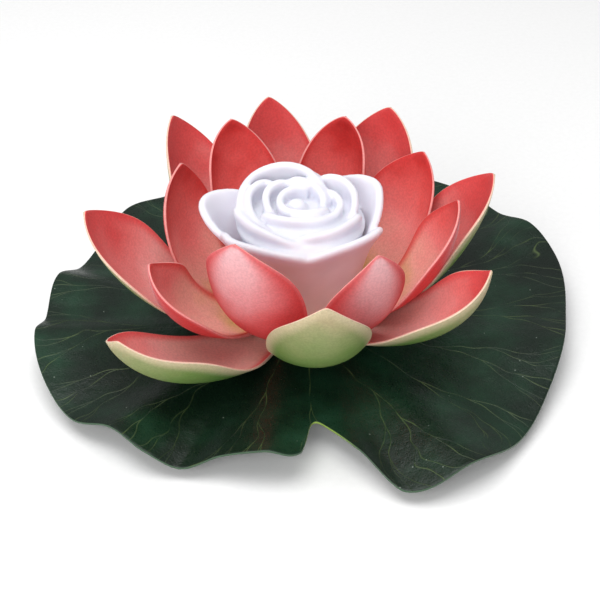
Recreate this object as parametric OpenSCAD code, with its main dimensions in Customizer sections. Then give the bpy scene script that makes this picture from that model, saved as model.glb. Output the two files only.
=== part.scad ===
// Floating pool light: a rose lamp that lifts out of a foam lotus flower on a lily pad.
// Millimetres, +Z up. The origin is the centre of the float's flat underside, and the
// pad's notch faces -Y.

/* [Float] */
// Diameter of the foam float disc under the leaf
float_d = 112; // [92:1:150]
// Height of the float disc
float_h = 14; // [11:0.5:20]

/* [Leaf] */
// Mean diameter of the lily pad
leaf_d = 280; // [230:5:340]
// Thickness of the laminated leaf sheet
leaf_t = 1.2; // [0.8:0.1:2]
// How far the margin waves rise and fall, as a factor
leaf_wave = 1; // [0.6:0.05:1.2]

/* [Petals] */
// Thickness of the foam sheet that both whorls are cut from
petal_t = 2.2; // [1.4:0.1:2.7]
// How far the flat hub of the outer whorl reaches past the socket flange
hub_margin = 3; // [3:0.5:6]
// Length of an outer petal from hub to tip
outer_len = 114; // [95:1:140]
// How much shorter an inner petal is than an outer one
inner_step = 18; // [14:1:24]

/* [Lamp] */
// Diameter of the plug that drops into the socket
plug_d = 38; // [36:0.5:46]
// Space left under the plug when the lamp is seated
plug_foot_gap = 1.5; // [0.5:0.1:3]
// Wall of the lamp housing
housing_wall = 1.6; // [1.2:0.1:2]
// Running clearance between plug and socket, on the radius
plug_gap = 0.4; // [0.2:0.05:0.6]
// Wall of the socket tube
socket_wall = 1.1; // [0.8:0.1:1.6]
// Thickness of the socket flange
flange_t = 1.6; // [1.2:0.1:2.4]

/* [Rose] */
// Height of the rose shade
rose_h = 70; // [58:1:84]
// Wall of the rose shade
rose_wall = 2.4; // [1.8:0.1:3.2]
// Clearance between the rose and the neck it stands on, on the radius
shade_gap = 0.3; // [0.25:0.05:0.5]

/* [Battery] */
// Diameter of one button cell
cell_d = 11.6; // [9.5:0.1:14]
// Height of one button cell
cell_h = 5.4; // [4.2:0.1:5.4]
// How many button cells are stacked
cell_count = 3; // [2:1:3]
// How far the battery door turns from locked to free
door_turn = 45; // [40:1:50]

/* [Hidden] */
$fn = 96;
eps = 0.01;
// Gap between two faces of different bodies that meet at rest
rest_gap = 0.3;
// Gap between a fixed piece and the hole it is fitted in
fit_gap = 0.05;
// Glue line or stacked faces touch exactly, so the stack has no gap
petals_per_whorl = 8;
sector = 360 / petals_per_whorl;

// Socket
socket_ir = plug_d / 2 + plug_gap;
socket_or = socket_ir + socket_wall;
flange_r = socket_or + 4.5;
hub_r = flange_r + hub_margin;
lip_t = 1.5;
lip_w = 2;
ring_t = 3;
ring_w = 6;
socket_z = 1;

// Heights of the stack, from the float up
outer_z = float_h + leaf_t;
inner_z = outer_z + petal_t;
flange_z = inner_z + petal_t;
hub_bore_r = socket_or + 0.3;

// Lamp housing
collar_z = flange_z + flange_t + rest_gap;
collar_t = 2.5;
collar_r = flange_r - 1;
plug_r = plug_d / 2;
plug_z = socket_z + lip_t + plug_foot_gap;
neck_r = plug_r + 1.6;
shade_z = collar_z + collar_t;
cavity_r = plug_r - housing_wall;

// Base plate, and the screws that hold it and the board up to the housing's bosses
plate_r = cavity_r - 0.1;
plate_t = 2;
plate_z = plug_z + 0.2;
post_r = 2.4;
screw_r = 0.95;
screw_head_r = 1.9;
screw_head_t = 1.2;
screw_l = 15;
screw_circle_r = plate_r - post_r - 0.6;
screw_angles = [0, 110, 250];
board_z = plate_z + 7.8;
board_t = 1.6;
board_r = cavity_r - 0.6;

// Battery well, set to one side of the lamp, and the door under it
cell_r = cell_d / 2;
well_ir = cell_r + 0.2;
well_or = well_ir + 1.3;
door_neck_r = well_or + 0.3;
door_r = door_neck_r + 1;
door_t = 1.6;
door_gap = 0.2;
gasket_t = 1;
lip_h = 1.3;
lug_h = 1.3;
lug_r = door_neck_r + 1.1;
lug_arc = 24;
track_or = lug_r + 1.4;
well_x = -(plate_r - track_or - 1.2);
lip_z = plate_z + door_t + gasket_t;
lug_z = lip_z + lip_h + 0.15;
door_top_z = lug_z + lug_h;
contact_t = 0.3;
cells_z = door_top_z + 0.3 + contact_t;
cells_top_z = cells_z + cell_count * cell_h;
contact_x = well_or + 0.4;

// Deck over the cells, inside the neck of the shade
deck_t = 2;
deck_z = max(cells_top_z + contact_t + 1.35, shade_z + 3.5);
neck_h = deck_z + deck_t - shade_z;

// Light source and switch
led_x = well_x + well_or + 2.7;
led_r = 2.5;
led_z = deck_z + deck_t - 2;
led_h = 8.6;
led_pitch = 2.54;
switch_w = 3.7;
switch_x = well_x + track_or + switch_w / 2 + 1;
switch_l = 8.6;
switch_h = 3.5;
knob_w = 1.6;
knob_l = 2.2;
switch_travel = 2;

// Outer whorl, one entry for each petal, counted anticlockwise from the front.
// turn: degrees that the tip swings sideways. rise: elevation at the hub. tip: elevation at
// the tip. late: over 1 keeps the petal flat for longer. roll: twist about its own length.
// cup: radius of its hollow across, when hub and petal together reach as far as the number
// below; it grows in step with them. size: length against the whorl's own.
outer_reach = 142;
inner_reach = 122;
outer_az = 277;
outer_turn = [-1, 2, -1, 6, 3, -8, 1, -1];
outer_rise = [10, 16, 8, 4, 4, 4, 7, 0];
outer_tip = [84, 87, 79, 94, 88, 86, 75, 75];
outer_late = [1.2, 2, 0.8, 0.9, 1.1, 0.9, 1, 1.7];
outer_roll = [-4, 20, 0, -5, 10, 22, -15, 7];
outer_cup = [25, 21, 32, 29, 21, 31, 34, 27];
outer_size = [1.03, 0.99, 0.96, 0.98, 1.01, 1, 0.98, 1.1];
outer_flare = [0.51, 0.43, 0.53, 0.5, 0.43, 0.46, 0.5, 0.47];

// Inner whorl, in the same terms
inner_az = 254;
inner_turn = [-7, 1, 4, 6, -4, 3, -1, 6];
inner_rise = [12, 14, 21, 14, 22, 17, 11, 13];
inner_tip = [91, 101, 95, 82, 104, 99, 116, 90];
inner_late = [0.7, 1, 1.2, 0.8, 1.1, 0.85, 1, 1.5];
inner_roll = [1, -1, 16, 2, -12, -4, -9, -34];
inner_cup = [25, 29, 25, 33, 18, 20, 35, 20];
inner_size = [1.09, 0.98, 1.02, 0.94, 1.01, 1.02, 1.01, 0.97];
inner_flare = [0.5, 0.46, 0.49, 0.54, 0.52, 0.47, 0.48, 0.51];

// Half-width at the hub over the distance from the axis: under tan(22.5) keeps petals apart
hub_flare = 0.36;
// The inner whorl's hub is smaller, so its petals lift clear of the outer ones
hub_step = 2;
tip_power = 2.5;
last_row = 0.985;
petal_rows = 12;
petal_cols = 8;

// Leaf margin: [azimuth, radius over the mean radius, height over the hub].
// The deep step near 272 is the notch.
leaf_margin = [
    [0, 1.00, 1], [20, 1.07, 4], [30, 1.07, 9], [38, 1.04, 6], [48, 1.06, 7],
    [60, 1.02, 10], [78, 1.03, 5], [96, 1.00, 9], [112, 1.02, 4], [126, 0.94, 8],
    [136, 0.99, 6], [148, 0.95, -1], [159, 0.935, -3], [168, 0.96, 5],
    [183, 0.955, 1], [190, 0.99, 5], [206, 1.0, -1], [217, 0.99, -5],
    [227, 0.95, 2], [237, 0.955, -1], [244, 0.92, -8], [252, 0.875, 0],
    [262, 0.865, 6], [270, 0.83, 2], [273, 0.67, 0], [277, 0.68, 0],
    [284, 0.83, 0], [290, 1.01, -7], [303, 1.045, 2], [317, 1.02, -7],
    [333, 0.985, -3], [347, 0.985, 3], [360, 1.00, 1]
];
leaf_cols = 120;
leaf_rows = 9;

// Rose petals: [rim stations, where the petal starts, where its side stands].
// A station is [azimuth, distance from the axis, height under the top of the rose]. The start
// is [share of the rim's distance, height over the foot], and the stand is [share of the rim's
// distance, share of the way up].
rose_petals = [
    [[[146, 31, 16], [158, 39, 12.5], [170, 47, 11], [180, 49.5, 12], [190, 47, 16],
        [203, 41, 22]],
        [0.51, 3.5], [0.7, 0.6]],
    [[[193, 39, 24], [205, 41.5, 19], [215, 41.5, 18.5], [232, 37.5, 19], [250, 35, 20],
        [268, 34, 21.5], [282, 33, 25]],
        [0.66, 3.5], [0.78, 0.64]],
    [[[270, 32, 25.5], [279, 34, 22.2], [296, 34.5, 20], [312, 36, 19], [328, 39, 18.4],
        [342, 41, 19], [353, 40, 23]],
        [0.68, 2.5], [0.78, 0.7]],
    [[[346, 35, 26], [358, 38.5, 19], [371, 41, 12], [382, 41.5, 8.5], [394, 37.5, 8],
        [408, 31, 10], [424, 26, 13]],
        [0.6, 3], [0.78, 0.64]],
    [[[58, 27, 14], [80, 29, 10], [105, 30, 9], [130, 31, 10], [150, 32, 13]],
        [0.8, 3.5], [0.94, 0.61]],
    [[[342, 25, 18], [358, 27, 13], [374, 27.5, 8], [390, 25, 4.7], [406, 21, 4.2],
        [422, 17.5, 6]],
        [0.79, 41], [1, 0.62]],
    [[[0, 13.5, 12], [20, 14, 10], [45, 15, 6.5], [66, 16, 3], [88, 17.5, 0.5],
        [108, 19.5, -0.6], [128, 23, 0], [148, 27.5, 2.7], [165, 30, 6.7], [180, 30.5, 11],
        [190, 29.5, 13.5], [202, 27, 17]],
        [0.86, 39.5], [1.06, 0.62]],
    [[[174, 30.5, 17], [186, 32, 12.7], [200, 31, 12.7], [220, 29.5, 13.5], [237, 28.5, 14.5],
        [255, 28.3, 16.5], [270, 28, 19], [280, 27, 22]],
        [0.85, 35], [1.01, 0.6]],
    [[[262, 24.5, 17.5], [280, 26, 15], [297, 27, 14], [314, 28, 13.4], [330, 29, 13],
        [343, 30, 13.2], [354, 29, 17.5]],
        [0.88, 39], [1.02, 0.58]],
    [[[200, 20.5, 13], [215, 20, 11.2], [235, 18, 11], [262, 16.8, 11], [290, 17, 11.5],
        [318, 18.3, 12.2], [340, 19.5, 11.7], [360, 19.8, 10.4], [380, 17.5, 8.6],
        [398, 14.5, 8.5]],
        [0.85, 42.5], [1.01, 0.6]],
    [[[138, 19, 5.5], [156, 23, 4.7], [172, 26, 7], [188, 26.3, 9.8], [205, 25.8, 12.4],
        [222, 25.2, 14.8], [238, 24.3, 18]],
        [0.86, 39.5], [1.04, 0.58]],
    [[[112, 13, 6], [140, 15.5, 5], [165, 17.3, 6.4], [188, 17.3, 9.2], [208, 17, 11.4],
        [226, 16.5, 14]],
        [0.84, 42.5], [1.05, 0.59]],
    [[[345, 10.8, 12.5], [370, 11.8, 9.4], [400, 11.6, 7], [430, 11.4, 5], [460, 12, 4],
        [485, 13, 5.5]],
        [0.85, 42.5], [1.06, 0.61]],
    [[[60, 7.6, 7.4], [100, 8, 6.6], [140, 8.8, 7], [180, 10.2, 8], [215, 11.4, 9],
        [245, 11.6, 9.4], [275, 11.8, 9.5], [305, 12.6, 9.8], [330, 13.4, 10.6],
        [350, 13.6, 12.5]],
        [0.8, 44], [1.04, 0.61]]
];
rose_across = 11;
// Places round a petal's section: up the outer face, over the rim and down the inner face
rose_round = [0, 0.18, 0.33, 0.45, 0.5, 0.55, 0.67, 0.82, 1];
rose_foot_r = neck_r + 3.8;
// The stations are this far under the top of the rose, which is the rounded rim of its hood
rose_rim_rise = 2;
bud_r = 5.6;

// ---------------------------------------------------------------- functions

function smooth(t) = let (c = min(1, max(0, t))) c * c * (3 - 2 * c);
function mix(a, b, t) = a * (1 - t) + b * t;
function running_sum(list, i = 0, total = 0) =
    i >= len(list) ? [total] : concat([total], running_sum(list, i + 1, total + list[i]));

// Faces of a grid of rows by cols points that is closed to a sheet with a rim: the first
// count points are the upper side and the next count points the lower side
function grid_faces(rows, cols) = let (count = (rows + 1) * (cols + 1)) concat(
    [for (i = [0:rows - 1], j = [0:cols - 1]) let (a = i * (cols + 1) + j, b = a + cols + 1)
        each [[a, b + 1, b], [a, a + 1, b + 1]]],
    [for (i = [0:rows - 1], j = [0:cols - 1]) let (a = count + i * (cols + 1) + j, b = a + cols + 1)
        each [[a, b, b + 1], [a, b + 1, a + 1]]]
);

// One whorl of petals: a flat hub ring and eight petals, as one closed sheet of foam
module whorl(z0, r0, len0, az0, turn, rise, tip, late, roll, cup, cup_reach, size, flare) {
    across = petals_per_whorl * petal_cols;
    function tilt(k, s) = rise[k] + (tip[k] - rise[k]) * pow(s, late[k]);
    // Radius and height of the petal's own middle line at each row
    steps = petal_rows;
    function row_s(i) = last_row * i / steps;
    runs = [for (k = [0:petals_per_whorl - 1])
        let (ds = len0 * size[k] * last_row / steps / 4,
             angles = [for (i = [0:4 * steps - 1]) tilt(k, last_row * (i + 0.5) / steps / 4)],
             r = running_sum([for (a = angles) ds * cos(a)]),
             z = running_sum([for (a = angles) ds * sin(a)]))
        [for (i = [0:steps]) [r0 + r[4 * i], z0 + z[4 * i]]]];
    // A point on petal k: row i, v from -1 to 1 across, off above the middle of the sheet
    function petal_point(k, i, v, off) = let (
        s = row_s(i),
        phi = tilt(k, s),
        length = len0 * size[k],
        half = (hub_flare + (flare[k] - hub_flare) * s) * (r0 + s * length)
            * (1 - pow(s, tip_power)),
        across_r = cup[k] * (r0 + len0) / cup_reach * (1 + pow(1 - s, 2)),
        a = v * half / across_r * 180 / PI,
        side = (across_r - off) * sin(a),
        up = across_r - (across_r - off) * cos(a),
        twist = roll[k] * s,
        side2 = side * cos(twist) - up * sin(twist),
        up2 = side * sin(twist) + up * cos(twist),
        r = runs[k][i][0] - up2 * sin(phi),
        z = runs[k][i][1] + up2 * cos(phi),
        az = az0 + sector * k + turn[k] * s * (2 - s),
        hub_az = az0 + sector * (k + v / 2),
        free = [r * cos(az) - side2 * sin(az), r * sin(az) + side2 * cos(az), z],
        hub = [r0 * cos(hub_az), r0 * sin(hub_az), z0 + off]
    ) mix(hub, free, smooth(s / 0.15));
    // Rings round the hub: bore and hub circle, above then below
    function ring(r, off) = [for (n = [0:across - 1])
        let (az = az0 - sector / 2 + sector * n / petal_cols) [r * cos(az), r * sin(az), z0 + off]];
    h = petal_t / 2;
    petal_count = petal_rows * (petal_cols + 1);
    points = concat(
        ring(hub_bore_r, h), ring(r0, h), ring(hub_bore_r, -h), ring(r0, -h),
        [for (off = [h, -h], k = [0:petals_per_whorl - 1], i = [1:petal_rows], j = [0:petal_cols])
            petal_point(k, i, 2 * j / petal_cols - 1, off)]
    );
    base = 4 * across;
    // Index of row i, column j of petal k on side q (0 above, 1 below); row 0 is the hub circle
    function at(q, k, i, j) = i == 0
        ? (2 * q + 1) * across + (k * petal_cols + j) % across
        : base + q * petals_per_whorl * petal_count + k * petal_count
            + (i - 1) * (petal_cols + 1) + j;
    function quad(a, b, c, d) = [[a, b, c], [a, c, d]];
    faces = concat(
        [for (n = [0:across - 1]) let (m = (n + 1) % across) each concat(
            quad(n, m, across + m, across + n),
            quad(2 * across + m, 2 * across + n, 3 * across + n, 3 * across + m),
            quad(m, n, 2 * across + n, 2 * across + m))],
        [for (k = [0:petals_per_whorl - 1], i = [0:petal_rows - 1], j = [0:petal_cols - 1]) each concat(
            quad(at(0, k, i, j), at(0, k, i, j + 1), at(0, k, i + 1, j + 1), at(0, k, i + 1, j)),
            quad(at(1, k, i, j + 1), at(1, k, i, j), at(1, k, i + 1, j), at(1, k, i + 1, j + 1)))],
        [for (k = [0:petals_per_whorl - 1], i = [0:petal_rows - 1]) each concat(
            quad(at(0, k, i, 0), at(0, k, i + 1, 0), at(1, k, i + 1, 0), at(1, k, i, 0)),
            quad(at(0, k, i + 1, petal_cols), at(0, k, i, petal_cols),
                 at(1, k, i, petal_cols), at(1, k, i + 1, petal_cols)))],
        [for (k = [0:petals_per_whorl - 1], j = [0:petal_cols - 1]) each
            quad(at(0, k, petal_rows, j), at(0, k, petal_rows, j + 1),
                 at(1, k, petal_rows, j + 1), at(1, k, petal_rows, j))]
    );
    polyhedron(points, faces, convexity = 8);
}

// Column c of a smooth curve through stations at place x. It is cubic between two stations,
// with each slope set by its neighbours; a turn over 0 joins the curve's ends to each other.
function station_below(list, x, i = 0) =
    i >= len(list) - 2 || list[i + 1][0] > x ? i : station_below(list, x, i + 1);
function slope(list, i, c, turn) = let (
    n = len(list) - 1,
    before = i > 0 ? [list[i - 1][0], list[i - 1][c]]
        : turn > 0 ? [list[n - 1][0] - turn, list[n - 1][c]] : [list[0][0], list[0][c]],
    after = i < n ? [list[i + 1][0], list[i + 1][c]]
        : turn > 0 ? [list[1][0] + turn, list[1][c]] : [list[n][0], list[n][c]]
) (after[1] - before[1]) / (after[0] - before[0]);
function curve(list, x, c, turn = 0) = let (
    i = station_below(list, x),
    a = list[i], b = list[i + 1], w = b[0] - a[0], t = (x - a[0]) / w
) a[c] * (1 + 2 * t) * (1 - t) * (1 - t) + w * slope(list, i, c, turn) * t * (1 - t) * (1 - t)
    + b[c] * t * t * (3 - 2 * t) + w * slope(list, i + 1, c, turn) * t * t * (t - 1);
function margin(az, c) = curve(leaf_margin, az, c, 360);

// ---------------------------------------------------------------- flower

module float_disc() color("whitesmoke") difference() {
    rotate_extrude() polygon([
        [hub_bore_r, 0], [float_d / 2 - 1.5, 0], [float_d / 2, 1.5],
        [float_d / 2, float_h - 1.5], [float_d / 2 - 1.5, float_h], [hub_bore_r, float_h]
    ]);
    translate([0, 0, -eps]) cylinder(r = socket_or + ring_w + 0.5, h = socket_z + ring_t + eps);
}

module lily_pad() {
    flat_r = float_d / 2 + 2;
    mean_r = leaf_d / 2;
    function leaf_point(row, col, side) = let (
        az = 360 * col / leaf_cols,
        edge = mean_r * margin(az, 1),
        r = row == 0 ? hub_bore_r : mix(flat_r, edge, (row - 1) / (leaf_rows - 1)),
        t = max(0, (r - flat_r) / (edge - flat_r)),
        z = float_h + leaf_wave * margin(az, 2) * pow(t, 1.5)
    ) [r * cos(az), r * sin(az), z + side * leaf_t];
    ring_size = leaf_cols;
    points = [for (side = [1, 0], row = [0:leaf_rows], col = [0:leaf_cols - 1])
        leaf_point(row, col, side)];
    function at(side, row, col) = (side * (leaf_rows + 1) + row) * ring_size + col % ring_size;
    function quad(a, b, c, d) = [[a, b, c], [a, c, d]];
    faces = concat(
        [for (row = [0:leaf_rows - 1], col = [0:leaf_cols - 1]) each concat(
            quad(at(0, row, col), at(0, row, col + 1), at(0, row + 1, col + 1), at(0, row + 1, col)),
            quad(at(1, row, col + 1), at(1, row, col), at(1, row + 1, col), at(1, row + 1, col + 1)))],
        [for (col = [0:leaf_cols - 1]) each concat(
            quad(at(0, 0, col + 1), at(0, 0, col), at(1, 0, col), at(1, 0, col + 1)),
            quad(at(0, leaf_rows, col), at(0, leaf_rows, col + 1),
                 at(1, leaf_rows, col + 1), at(1, leaf_rows, col)))]
    );
    color("darkgreen") polyhedron(points, faces, convexity = 8);
}

module outer_petals() color("lightcoral")
    whorl(outer_z + petal_t / 2, hub_r, outer_len, outer_az, outer_turn, outer_rise, outer_tip,
          outer_late, outer_roll, outer_cup, outer_reach, outer_size, outer_flare);

module inner_petals() color("indianred")
    whorl(inner_z + petal_t / 2, hub_r - hub_step, outer_len - inner_step, inner_az, inner_turn,
          inner_rise, inner_tip,
          inner_late, inner_roll, inner_cup, inner_reach, inner_size, inner_flare);

// Flanged sleeve through the whole stack, with a lip at the bottom that stops the plug
module lamp_socket() color("white") rotate_extrude() polygon([
    [socket_ir, socket_z + lip_t], [socket_ir, flange_z + flange_t],
    [flange_r - 0.5, flange_z + flange_t], [flange_r, flange_z + flange_t - 0.5],
    [flange_r, flange_z], [socket_or, flange_z], [socket_or, socket_z],
    [socket_ir - lip_w, socket_z], [socket_ir - lip_w, socket_z + lip_t]
]);

// Ring pressed on the sleeve from below, in the recess of the float
module socket_ring() color("white") difference() {
    translate([0, 0, socket_z]) cylinder(r = socket_or + ring_w, h = ring_t);
    translate([0, 0, socket_z - eps]) cylinder(r = socket_or + fit_gap, h = ring_t + 2 * eps);
    for (a = [30:60:330]) rotate(a) translate([socket_or + ring_w / 2 + 1, 0, socket_z - eps])
        cylinder(r = 1.4, h = ring_t / 2);
}

// ---------------------------------------------------------------- lamp

// One petal of the rose: a curved wall with a rounded rim, along its own stations
module rose_petal(petal) {
    top = shade_z + rose_h - rose_rim_rise;
    n = len(petal[0]) - 1;
    rim = [for (i = [0:n]) [i / n, petal[0][i][0], petal[0][i][1], top - petal[0][i][2]]];
    around = len(rose_round);
    function wall_point(x, y) = let (
        az = curve(rim, x, 1), r1 = curve(rim, x, 2), z1 = curve(rim, x, 3),
        r0 = r1 * petal[1][0], z0 = shade_z + petal[1][1],
        rm = r1 * petal[2][0], zm = mix(z0, z1, petal[2][1]),
        up = min(1, min(y, 1 - y) / 0.45),
        lie = 180 * min(1, max(0, (y - 0.45) / 0.1)),
        dr = 2 * (1 - up) * (rm - r0) + 2 * up * (r1 - rm),
        dz = 2 * (1 - up) * (zm - z0) + 2 * up * (z1 - zm),
        size = sqrt(dr * dr + dz * dz),
        ends = 0.92 * sqrt(max(0, 1 - pow(2 * x - 1, 8))) + 0.08,
        wall = rose_wall / 2 * ends * (0.95 + 0.35 * smooth((up - 0.75) / 0.25)),
        r = r0 * (1 - up) * (1 - up) + 2 * rm * up * (1 - up) + r1 * up * up
            + (dz * cos(lie) + dr * sin(lie)) / size * wall,
        z = z0 * (1 - up) * (1 - up) + 2 * zm * up * (1 - up) + z1 * up * up
            + (dz * sin(lie) - dr * cos(lie)) / size * wall
    ) [r * cos(az), r * sin(az), z];
    points = [for (i = [0:rose_across], y = rose_round) wall_point(i / rose_across, y)];
    faces = concat(
        [for (i = [0:rose_across - 1], j = [0:around - 1]) let (
            a = i * around + j, b = i * around + (j + 1) % around, c = b + around, d = a + around
        ) each [[a, b, c], [a, c, d]]],
        [[for (j = [around - 1:-1:0]) j], [for (j = [0:around - 1]) rose_across * around + j]]
    );
    polyhedron(points, faces, convexity = 6);
}

// The rose: petals on a thin cup, with the bud in the middle
module rose_shade() {
    deep = rose_h - rose_rim_rise - 18;
    waist_r = rose_foot_r + 2.6;
    brim_r = rose_foot_r + 5.6;
    wall = rose_wall;
    bore = neck_r + shade_gap;
    color("white") translate([0, 0, shade_z]) resize([0, 0, rose_h]) translate([0, 0, -shade_z])
        difference() {
            union() {
                for (petal = rose_petals) rose_petal(petal);
                rotate(1.1) rotate_extrude($fn = 60) polygon([
                    [0, shade_z], [rose_foot_r, shade_z], [rose_foot_r + 1, shade_z + 10],
                    [waist_r, shade_z + 0.45 * deep], [brim_r, shade_z + deep - 4], [brim_r, shade_z + deep],
                    [brim_r - 8, shade_z + deep + 3], [0, shade_z + deep + 6]
                ]);
                translate([-2, -1, shade_z + deep + 4.5]) sphere(r = bud_r, $fn = 32);
            }
            rotate_extrude($fn = 60) polygon([
                [0, shade_z - 1], [bore, shade_z - 1], [bore, shade_z + neck_h + 1],
                [waist_r - wall, shade_z + 0.45 * deep], [brim_r - wall, shade_z + deep - 3],
                [brim_r - 9, shade_z + deep + 3 - wall], [0, shade_z + deep + 6 - wall]
            ]);
        }
}

// O-ring between the neck of the housing and the bore of the shade
module shade_seal() color("dimgray") translate([0, 0, shade_z + 2.5])
    rotate_extrude() translate([neck_r - 0.25, 0]) circle(r = 0.5, $fn = 24);

module at_screws() for (a = screw_angles) rotate(a) translate([screw_circle_r, 0, 0]) children();

// Open-bottomed cup: plug below the collar, neck inside the shade above it
module lamp_housing() color("white") difference() {
    union() {
        difference() {
            rotate_extrude() polygon([
                [0, plug_z], [plug_r - 0.6, plug_z], [plug_r, plug_z + 0.6], [plug_r, collar_z],
                [collar_r, collar_z], [collar_r, shade_z], [neck_r, shade_z],
                [neck_r, deck_z + deck_t], [0, deck_z + deck_t]
            ]);
            translate([0, 0, plug_z - eps]) cylinder(r = cavity_r, h = deck_z - plug_z + eps);
        }
        at_screws() translate([0, 0, board_z + board_t])
            cylinder(r = post_r, h = deck_z - board_z - board_t + 0.5, $fn = 32);
    }
    at_screws() translate([0, 0, board_z]) cylinder(r = screw_r + fit_gap, h = screw_l, $fn = 32);
    translate([led_x, 0, deck_z - 1]) cylinder(r = led_r + 0.5, h = deck_t + 2, $fn = 48);
    translate([0, 0, shade_z + 2.5]) rotate_extrude()
        translate([neck_r - 0.85, -0.65]) square([1, 1.3]);
}

// Floor of the lamp: battery well with the door's bayonet track, posts and switch window
module base_plate() color("gainsboro") difference() {
    union() {
        translate([0, 0, plate_z]) cylinder(r = plate_r, h = plate_t);
        translate([well_x, 0, plate_z]) cylinder(r = track_or, h = door_top_z + 1 - plate_z);
        translate([well_x, 0, plate_z]) cylinder(r = well_or, h = cells_top_z - 1 - plate_z);
        at_screws() translate([0, 0, plate_z]) cylinder(r = post_r, h = board_z - plate_z, $fn = 32);
    }
    translate([well_x, 0, plate_z - eps]) {
        cylinder(r = well_ir, h = 40);
        cylinder(r = door_r + door_gap, h = lip_z - plate_z + eps);
        cylinder(r = door_neck_r + door_gap, h = door_top_z + 0.3 - plate_z);
        translate([0, 0, lip_z + lip_h - plate_z + eps])
            cylinder(r = lug_r + door_gap, h = door_top_z + 0.3 - lip_z - lip_h);
        for (k = [0:2]) rotate(120 * k - door_turn) bayonet_sector(lug_r + door_gap, lug_arc + 8,
            lip_z + lip_h + 0.5 - plate_z);
        translate([-contact_x - 1, -2.2, door_top_z - plate_z]) cube([4, 4.4, 3]);
    }
    at_screws() translate([0, 0, plate_z - eps]) {
        cylinder(r = screw_head_r + 0.15, h = screw_head_t + 0.2, $fn = 32);
        cylinder(r = screw_r + fit_gap, h = 20, $fn = 32);
    }
    translate([switch_x - knob_w / 2 - 0.3, -(knob_l + switch_travel) / 2 - 0.3, plate_z - eps])
        cube([knob_w + 0.6, knob_l + switch_travel + 0.6, plate_t + 2 * eps]);
}

// A wedge of a disc, centred on +X
module bayonet_sector(r, arc, h) intersection() {
    cylinder(r = r, h = h);
    linear_extrude(height = h) polygon([[0, 0], [2 * r * cos(arc / 2), -2 * r * sin(arc / 2)],
        [2 * r * cos(arc / 2), 2 * r * sin(arc / 2)]]);
}

module base_screws() color("silver") at_screws() translate([0, 0, plate_z + 0.1]) {
    difference() {
        cylinder(r = screw_head_r, h = screw_head_t, $fn = 32);
        for (a = [0, 90]) rotate(a) translate([-1.2, -0.25, -eps]) cube([2.4, 0.5, 0.6]);
    }
    translate([0, 0, screw_head_t - eps]) cylinder(r = screw_r, h = screw_l - screw_head_t, $fn = 32);
}

// Round door with a coin slot, a neck and three bayonet lugs
module battery_door() color("gainsboro") translate([well_x, 0, 0]) difference() {
    union() {
        translate([0, 0, plate_z]) cylinder(r = door_r, h = door_t);
        translate([0, 0, plate_z]) cylinder(r = door_neck_r, h = door_top_z - plate_z + 0.1);
        for (k = [0:2]) rotate(120 * k) translate([0, 0, lug_z]) difference() {
            bayonet_sector(lug_r, lug_arc, lug_h);
            translate([0, 0, -eps]) cylinder(r = door_neck_r - 0.7, h = lug_h + 2 * eps);
        }
    }
    translate([-5, -0.9, plate_z - eps]) cube([10, 1.8, 1.1]);
    translate([0, 0, plate_z + door_t + 0.4]) cylinder(r = door_neck_r - 1.4, h = 10);
}

module door_gasket() color("dimgray") translate([well_x, 0, plate_z + door_t + gasket_t / 2])
    rotate_extrude() translate([door_neck_r + 0.5, 0]) circle(r = 0.45, $fn = 24);

module button_cells() color("silver") for (n = [0:cell_count - 1])
    translate([well_x, 0, cells_z + n * cell_h]) rotate_extrude() polygon([
        [0, 0], [cell_r - 1.4, 0], [cell_r - 1.4, 0.5], [cell_r - 0.4, 0.5], [cell_r, 0.9],
        [cell_r, cell_h - 0.3], [cell_r - 0.3, cell_h - eps], [0, cell_h - eps]
    ]);

// Strip over the top cell, with a leg down the outside of the well to the board
module contact_plus() color("gold") translate([well_x, 0, 0]) {
    translate([-contact_x - contact_t, -1.5, cells_top_z]) cube([contact_x + 3, 3, contact_t]);
    translate([-contact_x - contact_t, -1.5, board_z - 0.5])
        cube([contact_t, 3, cells_top_z - board_z + 0.5 + eps]);
}

// Leaf spring under the bottom cell, with a leg up the outside of the well to the board
module contact_minus() color("gold") translate([well_x, 0, 0]) {
    translate([-contact_x - contact_t, -1.5, cells_z - contact_t])
        cube([contact_x + 3, 3, contact_t]);
    translate([-contact_x - contact_t, -1.5, cells_z - contact_t])
        cube([contact_t, 3, board_z - 0.8 - cells_z]);
}

module circuit_board() color("green") difference() {
    translate([0, 0, board_z]) cylinder(r = board_r, h = board_t);
    translate([well_x, 0, board_z - eps]) cylinder(r = well_or + 0.25, h = board_t + 2 * eps);
    translate([well_x - contact_x - 0.8, -2, board_z - eps]) cube([3, 4, board_t + 2 * eps]);
    at_screws() translate([0, 0, board_z - eps])
        cylinder(r = screw_r + fit_gap, h = board_t + 2 * eps, $fn = 32);
    for (s = [-1, 1]) translate([led_x, s * led_pitch / 2, board_z - eps])
        cylinder(r = 0.35, h = board_t + 2 * eps, $fn = 24);
}

module controller_chip() color("black") translate([7, 7, board_z + board_t]) {
    translate([-2.5, -1.95, 0.1]) cube([5, 3.9, 1.4]);
    for (s = [-1, 1], n = [0:3]) translate([-1.9 + 1.27 * n - 0.2, s * 2.3 - 0.4, 0])
        cube([0.4, 0.8, 0.4]);
}

module resistor() color("tan") translate([7, -7, board_z + board_t]) translate([-1.6, -0.8, 0])
    cube([3.2, 1.6, 0.6]);

module led() color("ivory") translate([led_x, 0, led_z]) {
    cylinder(r = led_r + 0.4, h = 1, $fn = 48);
    translate([0, 0, 1 - eps]) cylinder(r = led_r, h = led_h - led_r - 1 + eps, $fn = 48);
    translate([0, 0, led_h - led_r]) rotate_extrude() intersection() {
        circle(r = led_r, $fn = 48);
        square([led_r, led_r]);
    }
}

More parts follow.
